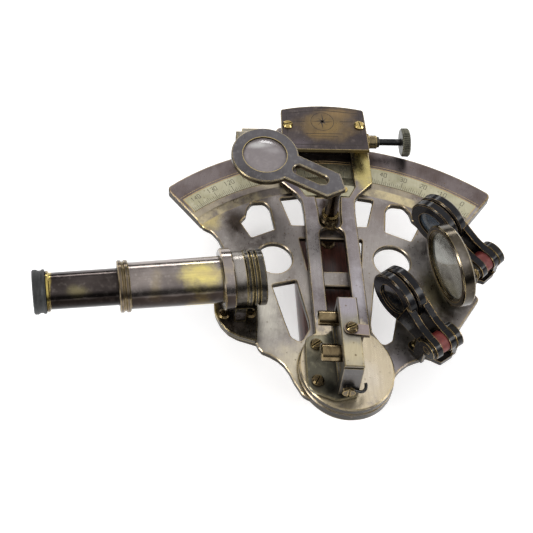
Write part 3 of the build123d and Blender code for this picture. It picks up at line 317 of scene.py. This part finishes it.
mat_post = metal("post_bronze", (0.025, 0.018, 0.012), (0.07, 0.05, 0.024), (0.24, 0.16, 0.06), edge=(0.50, 0.36, 0.13), rough=(0.16, 0.3), grime_and_shade=1.2, tone_scale=0.2)
mat_bead = metal("bead_bronze", (0.07, 0.056, 0.042), (0.15, 0.12, 0.09), (0.27, 0.22, 0.17), edge=(0.60, 0.45, 0.20), rough=(0.16, 0.3), grime_and_shade=0.8, tone_scale=0.2)
mat_pedestal = metal("bracket_bronze", (0.030, 0.025, 0.020), (0.075, 0.065, 0.052), (0.19, 0.17, 0.15), edge=(0.55, 0.42, 0.16), rough=(0.2, 0.4), blobs=[
    ((-34.0, 25.0, 47), (6, 12, 5), (0.40, 0.37, 0.34), 0.9, 0.8),
    ((-33.5, 16.5, 28), (3.0, 2.0, 3.0), (0.36, 0.33, 0.34), 0.9, 0.5),
    # painted reflection: gold along the left edge of the foot, where it mirrors the bright room
    ((-41.5, 19.0, 24), (2.0, 9, 4), (0.50, 0.38, 0.13), 0.8, 0.9),
])
mat_mirror_ring = metal("mirror_cell_bronze", (0.035, 0.028, 0.020), (0.090, 0.076, 0.057), (0.18, 0.155, 0.12), edge=(0.66, 0.50, 0.22), edge_w=0.5,
                        rough=(0.14, 0.30), blobs=[((35.0, 27.0, 50), (4, 8, 6), (0.34, 0.31, 0.28), 0.8, 0.9)])
mat_im = metal("index_mirror_bronze", (0.18, 0.165, 0.135), (0.36, 0.330, 0.27), (0.56, 0.52, 0.43), edge=(0.74, 0.58, 0.26), edge_w=0.7, edge_amt=1.0, spots=0.9, side=(0.095, 0.088, 0.085), blobs=[
    ((-0.8, -6.0, 48), (7, 6, 4), (0.62, 0.54, 0.36), 0.9, 0.8),
    ((-0.8, 10.5, 48), (7, 6, 4), (0.42, 0.385, 0.42), 0.9, 0.7),
])
mat_clip = metal("clip_bronze", (0.22, 0.17, 0.16), (0.33, 0.27, 0.26), (0.42, 0.36, 0.35), edge=(0.55, 0.42, 0.2), side=(0.05, 0.035, 0.03))
mat_imfoot = metal("index_foot_bronze", (0.075, 0.072, 0.055), (0.17, 0.16, 0.12), (0.30, 0.28, 0.20), edge=(0.62, 0.48, 0.22), blobs=[
    # the light patch round the upper screw is the plate's own tone; the near-black patch beside the mirror holder is
    # painted shade
    ((-9.0, 7.0, 28), (5, 5, 5), (0.54, 0.49, 0.34), 0.9, 0.9), ((-6.0, -8.0, 28), (4, 4, 5), (0.035, 0.035, 0.03), 0.9, 0.9)])
mat_black = lacquer("black_lacquer", (0.0035, 0.0035, 0.0045), edge=(0.50, 0.33, 0.13), wear=0.9)
mat_forks = lacquer("fork_black", (0.0060, 0.0052, 0.0045), edge=(0.46, 0.32, 0.12), wear=0.9, rough=(0.16, 0.32))
mat_knob = metal("knob_dark", (0.040, 0.042, 0.036), (0.085, 0.088, 0.076), (0.17, 0.17, 0.145), edge=(0.30, 0.28, 0.20), rough=(0.3, 0.45), tone_scale=0.2)
mat_shaft = metal("shaft_black", (0.020, 0.020, 0.020), (0.045, 0.045, 0.045), (0.12, 0.115, 0.11), edge=(0.26, 0.22, 0.15), rough=(0.2, 0.34))


def rubber(name, a, b):
    m = Mat(name)
    n1 = m.noise(0.8, 6, 0.7, seed=1.0)
    n2 = m.noise(5.0, 3, 0.6, seed=2.0)
    col = m.mix(m.ramp(n1, 0.35, 0.7), a, b)
    e = m.edge(0.3)
    col = m.mix(m.math("MULTIPLY", e, 0.4), col, tuple(min(1, c * 1.8 + 0.02) for c in b))
    m.surface(Base_Color=col, Roughness=m.ramp(n2, 0.3, 0.7, 0.42, 0.7), Normal=m.bump(n2, 0.35, 0.03))
    return m.m


mat_washer = rubber("washer_red", (0.11, 0.013, 0.010), (0.19, 0.026, 0.018))
mat_cup = rubber("eyecup_black", (0.008, 0.009, 0.008), (0.022, 0.024, 0.024))


def wood(name):
    m = Mat(name)
    v = m.mapped(scale=(1.0, 9.0, 1.0))
    ringn = m.noise(0.9, 5, 0.6, vec=v, dist=1.2, seed=3.0)
    pores = m.noise(6.0, 3, 0.8, vec=m.mapped(scale=(1.0, 14.0, 1.0)), seed=5.0)
    col = m.mix(m.ramp(ringn, 0.32, 0.68), (0.022, 0.006, 0.004), (0.085, 0.022, 0.013))
    col = m.mix(m.math("MULTIPLY", m.ramp(pores, 0.58, 0.70), 0.7), col, (0.02, 0.008, 0.005))
    e = m.edge(0.8)
    col = m.mix(m.math("MULTIPLY", e, 0.3), col, (0.16, 0.055, 0.03))
    m.surface(Base_Color=col, Roughness=m.ramp(ringn, 0.3, 0.7, 0.28, 0.42), Coat_Weight=0.35, Coat_Roughness=0.2,
              Normal=m.bump(pores, 0.3, 0.04))
    return m.m


mat_wood = wood("grip_wood")


def glass(name, tint, trans, rough=0.03, patches=None, ior=1.5, spec=0.5, alpha=1.0):
    """Tinted glass with a faint film of dust and smears; optional placed patches paint reflections on it."""
    m = Mat(name)
    smear = m.noise(0.25, 5, 0.6, seed=2.0, dist=0.8)
    dust = m.noise(3.5, 4, 0.8, seed=6.0)
    col = m.mix(m.ramp(smear, 0.45, 0.75), tint, tuple(min(1, c * 1.25 + 0.02) for c in tint))
    if patches:
        for c in patches:
            f = m.math("MULTIPLY", m.blob(c[0], c[1], soft=0.9), c[3])
            col = m.mix(f, col, c[2])
    rg = m.math("ADD", m.ramp(smear, 0.3, 0.7, rough, rough + 0.09), m.math("MULTIPLY", m.ramp(dust, 0.6, 0.75), 0.15))
    m.surface(Base_Color=col, Roughness=rg, Transmission_Weight=trans, IOR=ior, Coat_Weight=0.5, Coat_Roughness=0.03, Alpha=alpha)
    return m.m


mat_lens = glass("lens_glass", (0.86, 0.88, 0.88), 0.95)
mat_shade_dark = glass("shade_glass_dark", (0.004, 0.005, 0.007), 0.25, rough=0.05)
mat_shade_grey = glass("shade_glass_grey", (0.07, 0.10, 0.13), 0.45, rough=0.05)
# the magnifier lens patches are painted reflections, light at the upper left
mat_maglens = glass("magnifier_lens", (0.26, 0.225, 0.225), 0.30, rough=0.08, patches=[
    ((-24.5, 74.0, 47), (5.5, 2.4, 9), (0.66, 0.64, 0.62), 0.95), ((-20.0, 71.5, 47), (5, 2.2, 9), (0.42, 0.385, 0.385), 0.7)])


def mirror(name):
    m = Mat(name)
    spots = m.noise(0.55, 6, 0.75, seed=3.0)
    haze = m.noise(0.13, 4, 0.6, seed=8.0, dist=1.0)
    col = m.mix(m.ramp(haze, 0.35, 0.65), (0.24, 0.245, 0.21), (0.52, 0.53, 0.48))
    col = m.mix(m.math("MULTIPLY", m.ramp(spots, 0.60, 0.70), 0.5), col, (0.30, 0.25, 0.15))
    # grime and painted shade round the edge of the glass, where the frame closes over it
    g = m.grime_and_shade(1.2, 0.4, 0.95)
    col = m.mix(m.math("MULTIPLY", g, 0.7), col, (0.05, 0.045, 0.03))
    m.surface(Base_Color=col, Metallic=0.72, Roughness=m.ramp(haze, 0.3, 0.7, 0.06, 0.22), Coat_Weight=0.4, Coat_Roughness=0.03)
    return m.m


mat_mirror = mirror("mirror_glass")


def ink(name, col):
    m = Mat(name)
    n = m.noise(2.2, 4, 0.7, seed=1.0)
    c = m.mix(m.ramp(n, 0.35, 0.7), col, tuple(min(1, v * 2.2 + 0.02) for v in col))
    m.surface(Base_Color=c, Roughness=m.ramp(n, 0.3, 0.7, 0.45, 0.7), Metallic=0.2)
    return m.m


mat_ink = ink("engraving_black", (0.055, 0.047, 0.036))
mat_ornament = ink("ornament_brown", (0.020, 0.014, 0.010))
mat_tan = ink("engraving_tan", (0.30, 0.21, 0.10))

LOOK = {
    "frame_plate": mat_frame, "limb_scale": mat_scale, "pivot_bush": mat_gold, "feet": mat_gold, "pivot_guard": mat_frame,
    "pivot_guard_screws": mat_aged, "handle_grip": mat_wood, "handle_pillars": mat_aged, "handle_screws": mat_bright,
    "telescope_bracket": mat_pedestal, "telescope_tube": mat_tube, "telescope_guide_ring": mat_bead, "objective_cell": mat_objective,
    "objective_lens": mat_lens, "horizon_mirror_bracket": mat_forks, "horizon_mirror_cell": mat_mirror_ring,
    "horizon_mirror_glass": mat_mirror, "horizon_mirror_retainer": mat_mirror_ring, "horizon_mirror_screws": mat_aged,
    "shade_forks": mat_forks, "shade_washers": mat_washer, "shade_pivot_screws": mat_aged, "bracket_screws": mat_aged,
    "index_arm": mat_arm, "vernier_plate": mat_scale, "arm_head_screws": mat_bright, "pivot_axle": mat_gold, "pivot_nut": mat_gold,
    "pivot_washer": mat_aged, "index_mirror_foot": mat_imfoot, "index_mirror_frame": mat_im, "index_mirror_glass": mat_mirror,
    "index_mirror_adjust_screws": mat_adjust, "index_mirror_screws": mat_aged, "index_mirror_clip": mat_clip,
    "mirror_wire_clip": mat_shaft, "cover_plate": mat_cover, "cover_pillars": mat_aged, "tangent_bearing": mat_gold,
    "magnifier_socket": mat_gold, "magnifier_arm": mat_mag, "magnifier_post": mat_post, "magnifier_lens": mat_maglens,
    "tangent_screw": mat_shaft, "tangent_knob": mat_knob, "tangent_collar": mat_gold, "clamp_block": mat_im, "clamp_screw": mat_knob,
    "draw_tube": mat_draw, "eyecup": mat_cup, "eye_lens": mat_lens,
}
for s in ("index", "horizon"):
    for t in "ab":
        LOOK[f"{s}_shade_{t}_frame"] = mat_black
        LOOK[f"{s}_shade_{t}_glass"] = mat_shade_dark if s == "index" else mat_shade_grey
for n, o in N.items():
    o.data.materials.clear()
    o.data.materials.append(LOOK[n])


# ------------------------------------------------------------------ mesh helpers
def mesh_obj(name, verts, faces, mat, body, smooth=False):
    me = bpy.data.meshes.new(name)
    me.from_pydata([Vector(v) * MM for v in verts], [], faces)
    me.update()
    me.materials.append(mat)
    if smooth:
        for p in me.polygons:
            p.use_smooth = True
    o = bpy.data.objects.new(name, me)
    bpy.context.scene.collection.objects.link(o)
    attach(o, body)
    return o


class Bits:
    """Collects many small solids into one mesh."""

    def __init__(self):
        self.v, self.f = [], []

    def prism(self, pts, z0, z1):
        """Closed prism over a convex outline (x, y)."""
        k, n = len(self.v), len(pts)
        self.v += [(x, y, z0) for x, y in pts] + [(x, y, z1) for x, y in pts]
        self.f.append(tuple(k + i for i in reversed(range(n))))
        self.f.append(tuple(k + n + i for i in range(n)))
        for i in range(n):
            j = (i + 1) % n
            self.f.append((k + i, k + j, k + n + j, k + n + i))

    def bar(self, p, q, w, z0, z1):
        dx, dy = q[0] - p[0], q[1] - p[1]
        l = math.hypot(dx, dy) or 1
        nx, ny = -dy / l * w / 2, dx / l * w / 2
        self.prism([(p[0] - nx, p[1] - ny), (q[0] - nx, q[1] - ny), (q[0] + nx, q[1] + ny), (p[0] + nx, p[1] + ny)], z0, z1)

    def arc(self, r0, r1, a0, a1, z0, z1, n=60):
        """Ring sector about the pivot; angles in degrees from +Y, positive to the right."""
        for i in range(n):
            t0, t1 = R(a0 + (a1 - a0) * i / n), R(a0 + (a1 - a0) * (i + 1) / n)
            pts = [(r0 * math.sin(t0), r0 * math.cos(t0)), (r0 * math.sin(t1), r0 * math.cos(t1)),
                   (r1 * math.sin(t1), r1 * math.cos(t1)), (r1 * math.sin(t0), r1 * math.cos(t0))]
            self.prism(pts[::-1], z0, z1)

    def make(self, name, mat, body):
        return mesh_obj(name, self.v, self.f, mat, body)


DIGITS = {  # strokes on a 2 x 4 grid
    "0": [((0, 0), (2, 0)), ((2, 0), (2, 4)), ((2, 4), (0, 4)), ((0, 4), (0, 0))],
    "1": [((1, 0), (1, 4)), ((1, 4), (0.3, 3.2))],
    "2": [((0, 4), (2, 4)), ((2, 4), (2, 2.2)), ((2, 2.2), (0, 0)), ((0, 0), (2, 0))],
    "3": [((0, 4), (2, 4)), ((2, 4), (2, 0)), ((2, 0), (0, 0)), ((0.6, 2), (2, 2))],
    "4": [((1.6, 0), (1.6, 4)), ((1.6, 4), (0, 1.4)), ((0, 1.4), (2.1, 1.4))],
    "5": [((2, 4), (0, 4)), ((0, 4), (0, 2.2)), ((0, 2.2), (2, 2.2)), ((2, 2.2), (2, 0)), ((2, 0), (0, 0))],
    "6": [((2, 4), (0, 3.4)), ((0, 3.4), (0, 0)), ((0, 0), (2, 0)), ((2, 0), (2, 2.2)), ((2, 2.2), (0, 2.2))],
    "7": [((0, 4), (2, 4)), ((2, 4), (0.7, 0))],
    "8": [((0, 0), (2, 0)), ((2, 0), (2, 4)), ((2, 4), (0, 4)), ((0, 4), (0, 0)), ((0, 2), (2, 2))],
    "9": [((2, 2), (0, 2)), ((0, 2), (0, 4)), ((0, 4), (2, 4)), ((2, 4), (2, 0.6)), ((2, 0.6), (0.6, 0))],
}


def number(bits, text, ang, r, h, w, z0, z1):
    """Digits centred at angle ang (degrees right of +Y) with their feet at radius r."""
    u = h / 4.0
    total = len(text) * 2 * u + (len(text) - 1) * 1.2 * u
    a = R(ang)
    ex, ey = (math.cos(a), -math.sin(a)), (math.sin(a), math.cos(a))
    x = -total / 2
    for ch in text:
        for p, q in DIGITS[ch]:
            P = [(x + s[0] * u) * ex[0] + (r + s[1] * u) * ey[0] for s in (p, q)]
            Q = [(x + s[0] * u) * ex[1] + (r + s[1] * u) * ey[1] for s in (p, q)]
            bits.bar((P[0], Q[0]), (P[1], Q[1]), w, z0, z1)
        x += 3.2 * u


# ------------------------------------------------------------------ graduations on the limb
ZS = 24.0
COVER_Z = 34.6
ticks = Bits()
for i in range(-75, 76):
    a = i * 0.5
    long_ = i % 10 == 0
    mid_ = i % 5 == 0
    r1 = 79.9 if long_ else (79.2 if mid_ else (78.7 if i % 2 == 0 else 78.2))
    t = R(a)
    ticks.bar((77.0 * math.sin(t), 77.0 * math.cos(t)), (r1 * math.sin(t), r1 * math.cos(t)), 0.16 if long_ else 0.11, ZS - 0.01, ZS + 0.02)
for k, a in enumerate(range(35, -36, -5)):
    number(ticks, str(k * 10), a, 80.5, 1.7, 0.17, ZS - 0.01, ZS + 0.02)
ticks.make("limb_graduations", mat_ink, "frame")
lines = Bits()
lines.arc(76.62, 76.86, -37.8, 37.8, ZS - 0.01, ZS + 0.03, 90)
lines.make("limb_inner_line", mat_ink, "frame")
lines = Bits()
lines.arc(83.25, 83.5, -37.8, 37.8, ZS - 0.01, ZS + 0.03, 90)
lines.arc(84.2, 84.36, -38.2, 38.2, ZS - 0.01, ZS + 0.03, 90)
lines.make("limb_outer_lines", mat_tan, "frame")


# ------------------------------------------------------------------ knurled heads in place of the plain ones
def knurled(name, origin, along_x, profile, teeth, depth, mat, body):
    """A turned piece from (axial, radius, toothed) rows; toothed rows dip between the teeth."""
    seg = teeth * 4
    verts, faces = [], []
    for ax, r, toothed in profile:
        for i in range(seg):
            t = 2 * math.pi * i / seg
            rr = r - (depth if toothed and i % 4 in (2, 3) else 0.0)
            a, b = rr * math.cos(t), rr * math.sin(t)
            v = (ax, a, b) if along_x else (a, b, ax)
            verts.append(tuple(o + c for o, c in zip(origin, v)))
    for k in range(len(profile) - 1):
        for i in range(seg):
            j = (i + 1) % seg
            f = (k * seg + i, k * seg + j, (k + 1) * seg + j, (k + 1) * seg + i)
            faces.append(f)
    faces.append(tuple(range(seg))[::-1])
    faces.append(tuple((len(profile) - 1) * seg + i for i in range(seg)))
    o = mesh_obj(name, verts, faces, mat, body)
    bm = bmesh.new()
    bm.from_mesh(o.data)
    bmesh.ops.recalc_face_normals(bm, faces=bm.faces)
    bm.to_mesh(o.data)
    bm.free()
    return o


knob = knurled("tangent_knob_knurled", (0.0, 89.0, 30.0), True,
               [(29.8, 1.25, False), (27.6, 1.25, False), (27.6, 4.7, False), (28.0, 5.2, True), (30.0, 5.2, True), (30.4, 4.7, False),
                (30.4, 3.2, False), (30.15, 2.9, False), (30.15, 0.4, False)], 44, 0.22, mat_knob, "tangent_screw")
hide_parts("tangent_knob")
cscrew = knurled("clamp_screw_knurled", (-24.0, 86.2, 0.0), False,
                 [(7.6, 0.4, False), (7.6, 4.4, False), (8.1, 4.9, True), (11.3, 4.9, True), (11.8, 4.4, False), (12.2, 3.0, False),
                  (13.4, 2.4, False), (14.6, 2.4, False), (14.6, 1.5, False), (20.4, 1.5, False), (20.4, 0.4, False)], 40, 0.22, mat_knob, "clamp_screw")
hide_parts("clamp_screw")

# ------------------------------------------------------------------ vernier ticks on the sloping plate
vt = Bits()


def slope_bar(bits, ang, ra, rb, w):
    """A thin line down the sloping vernier face, from radius ra to rb."""
    t = R(ang)
    e, n = (math.sin(t), math.cos(t)), (math.cos(t), -math.sin(t))
    k = len(bits.v)
    for r in (ra, rb):
        z = 26.2 - (r - 72.4) * (1.5 / 4.3)
        for sgn in (-1, 1):
            for dz in (-0.02, 0.03):
                bits.v.append((r * e[0] + sgn * w / 2 * n[0], r * e[1] + sgn * w / 2 * n[1], z + dz))
    for f in ((0, 1, 3, 2), (4, 6, 7, 5), (0, 4, 5, 1), (2, 3, 7, 6), (1, 5, 7, 3), (0, 2, 6, 4)):
        bits.f.append(tuple(k + i for i in f))


for i in range(-12, 13):
    a = i * 0.49
    slope_bar(vt, a, 74.6 if i % 6 == 0 else (75.0 if i % 3 == 0 else 75.5), 76.5, 0.10)
vt.make("vernier_divisions", mat_ink, "index_arm")

# ------------------------------------------------------------------ plain ornament on the cover: a fine border and an eight-point star
cp = Bits()
zc = COVER_Z
b0 = [(-13.2, 84.0), (-13.0, 98.4), (0.0, 99.9), (13.0, 98.4), (13.2, 84.0)]
for p0, p1 in zip(b0, b0[1:] + b0[:1]):
    cp.bar(p0, p1, 0.22, zc - 0.01, zc + 0.03)
for k in range(8):
    t = R(45 * k)
    L = 3.6 if k % 2 == 0 else 2.3
    w = 0.62 if k % 2 == 0 else 0.42
    c0 = (-0.2, 94.6)
    tip = (c0[0] + L * math.sin(t), c0[1] + L * math.cos(t))
    side = (c0[0] + w * math.cos(t), c0[1] - w * math.sin(t))
    cp.prism([c0, tip, side], zc - 0.01, zc + 0.03) if (side[0] - c0[0]) * (tip[1] - c0[1]) - (side[1] - c0[1]) * (tip[0] - c0[0]) < 0 else cp.prism([c0, side, tip], zc - 0.01, zc + 0.03)
for k in range(36):
    t0, t1 = R(10 * k), R(10 * k + 10)
    cp.bar((-0.2 + 4.1 * math.sin(t0), 94.6 + 4.1 * math.cos(t0)), (-0.2 + 4.1 * math.sin(t1), 94.6 + 4.1 * math.cos(t1)), 0.16, zc - 0.01, zc + 0.03)
for x0, x1, y in ((-6.5, 6.5, 89.0), (-4.8, 4.8, 87.9), (-11.0, -6.4, 94.6), (6.0, 11.0, 94.6)):
    cp.bar((x0, y), (x1, y), 0.20, zc - 0.01, zc + 0.03)
cp.make("cover_ornament", mat_ornament, "index_arm")


# ------------------------------------------------------------------ light, floor and camera
def floor():
    bpy.ops.mesh.primitive_plane_add(size=6.0, location=(0, 0, 0))
    o = bpy.context.object
    o.name = "floor"
    m = Mat("floor_pale")
    n = m.noise(0.02, 3, 0.5)
    m.surface(Base_Color=m.mix(m.ramp(n, 0.3, 0.7), (0.90, 0.90, 0.90), (0.93, 0.93, 0.93)), Roughness=0.75,
              Emission_Color=(1.0, 1.0, 1.0), Emission_Strength=0.42)
    # clear when seen from below, so that the underside of the object can be looked at
    top = m.out.inputs[0].links[0].from_socket
    clear, mixer = m.node("ShaderNodeBsdfTransparent"), m.node("ShaderNodeMixShader")
    m.put(mixer.inputs[0], m.geo.outputs["Backfacing"])
    m.t.links.new(top, mixer.inputs[1])
    m.t.links.new(clear.outputs[0], mixer.inputs[2])
    m.t.links.new(mixer.outputs[0], m.out.inputs[0])
    o.data.materials.append(m.m)


floor()

world = bpy.data.worlds.new("studio")
bpy.context.scene.world = world
world.use_nodes = True
wt = world.node_tree
wt.nodes.clear()
wo = wt.nodes.new("ShaderNodeOutputWorld")
bg = wt.nodes.new("ShaderNodeBackground")
tc = wt.nodes.new("ShaderNodeTexCoord")
sx = wt.nodes.new("ShaderNodeSeparateXYZ")
cr = wt.nodes.new("ShaderNodeValToRGB")
wt.links.new(tc.outputs["Generated"], sx.inputs[0])
wt.links.new(sx.outputs["Z"], cr.inputs[0])
els = cr.color_ramp.elements
els[0].position, els[0].color = 0.0, (0.80, 0.80, 0.80, 1)
els[1].position, els[1].color = 1.0, (1.0, 1.0, 1.0, 1)
for pos, c in ((0.02, 0.06), (0.34, 0.07), (0.50, 0.36), (0.68, 0.86)):
    e = els.new(pos)
    e.color = (c, c, c * 1.02, 1)
wt.links.new(cr.outputs[0], bg.inputs[0])
bg.inputs[1].default_value = 1.0
wt.links.new(bg.outputs[0], wo.inputs[0])


def area(name, loc, target, size, power, colour=(1, 1, 1)):
    l = bpy.data.lights.new(name, "AREA")
    l.shape = "RECTANGLE"
    l.size, l.size_y = size
    l.energy = power
    l.color = colour
    o = bpy.data.objects.new(name, l)
    bpy.context.scene.collection.objects.link(o)
    o.location = loc
    o.rotation_euler = (Vector(target) - Vector(loc)).to_track_quat("-Z", "Y").to_euler()
    return o


area("softbox_left", (-0.85, -0.30, 0.55), (0, 0.04, 0.02), (0.30, 0.5), 4.5)
area("softbox_right", (0.85, -0.25, 0.55), (0, 0.04, 0.02), (0.25, 0.5), 3.5)
area("softbox_back", (0.10, 1.00, 0.42), (0, 0.04, 0.02), (0.9, 0.14), 3.0)
bpy.context.scene.view_settings.view_transform = "Standard"

# the eye point of the view from above the near left side
cam_pos = Vector((-63.46, -206.40, 422.49)) * MM
right = Vector((0.98884, 0.10173, -0.10882))
down = Vector((0.00070, -0.73368, -0.67950))
fwd = Vector((-0.14896, 0.67184, -0.72556))
cam = bpy.data.cameras.new("camera")
co = bpy.data.objects.new("camera", cam)
bpy.context.scene.collection.objects.link(co)
rot = Matrix((right, -down, -fwd)).transposed().to_4x4()
co.matrix_world = Matrix.Translation(cam_pos) @ rot
cam.sensor_width = 36.0
CX, CY, S = 400.0, 316.5, 290.0
cam.lens = 696.5 / S * 36.0
# the lens shift belongs to this standpoint only: seen from anywhere else the object sits in the middle
for path, amount in (("shift_x", (CX - 231.5) / S), ("shift_y", -(CY - 174.8) / S)):
    setattr(cam, path, amount)
    drv = cam.driver_add(path).driver
    drv.type = "SCRIPTED"
    var = drv.variables.new()
    var.name, var.type = "x", "TRANSFORMS"
    var.targets[0].id = co
    var.targets[0].transform_type = "LOC_X"
    var.targets[0].transform_space = "WORLD_SPACE"
    drv.expression = "%.6f if abs(x + 0.06346) < 0.0004 else 0.0" % amount
cam.clip_start, cam.clip_end = 0.01, 20
bpy.context.scene.camera = co
